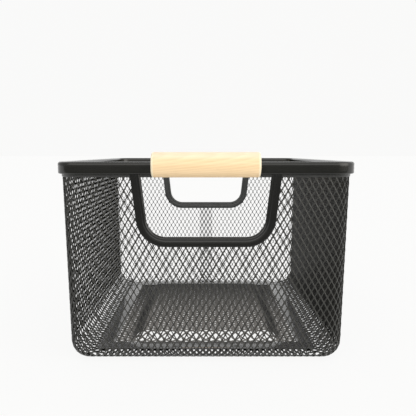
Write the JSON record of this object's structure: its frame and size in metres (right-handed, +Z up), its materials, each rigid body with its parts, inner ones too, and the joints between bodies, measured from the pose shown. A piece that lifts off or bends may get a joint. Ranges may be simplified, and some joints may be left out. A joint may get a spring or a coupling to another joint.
{
  "type": "wire locker basket",
  "caption": "Rectangular storage basket of black expanded-steel mesh with a rolled steel rim, U-shaped hand holes front and back, and a round wooden grip over each.",
  "frame": {"origin": "middle of the underside, at the level that the basket rests on", "axes": "+Z up towards the open top, -Y towards the front hand hole and grip, +X to the right seen from the front"},
  "size_m": [0.311, 0.3464, 0.2247],
  "materials": {
    "mesh_steel": "satin",
    "strip_steel": "satin",
    "rim_steel": "satin",
    "trim_steel": "satin",
    "grip_wood": "satin",
    "screw_steel": "satin"
  },
  "bodies": {
    "root": {"wall_mesh_front": "mesh_steel", "wall_mesh_back": "mesh_steel", "wall_mesh_left": "mesh_steel", "wall_mesh_right": "mesh_steel", "wall_mesh_corner_bends": "mesh_steel", "wall_mesh_base_turns": "mesh_steel", "wall_mesh_base_flange": "mesh_steel", "floor_mesh": "mesh_steel", "floor_strip_front": "strip_steel", "floor_strip_back": "strip_steel", "floor_strip_left": "strip_steel", "floor_strip_right": "strip_steel", "rim_band": "rim_steel", "rim_hem": "rim_steel", "hand_hole_trim_front": "trim_steel", "hand_hole_trim_back": "trim_steel", "grip_front": "grip_wood", "grip_back": "grip_wood", "grip_screws_front": "screw_steel", "grip_screws_back": "screw_steel"}
  },
  "joints": []
}
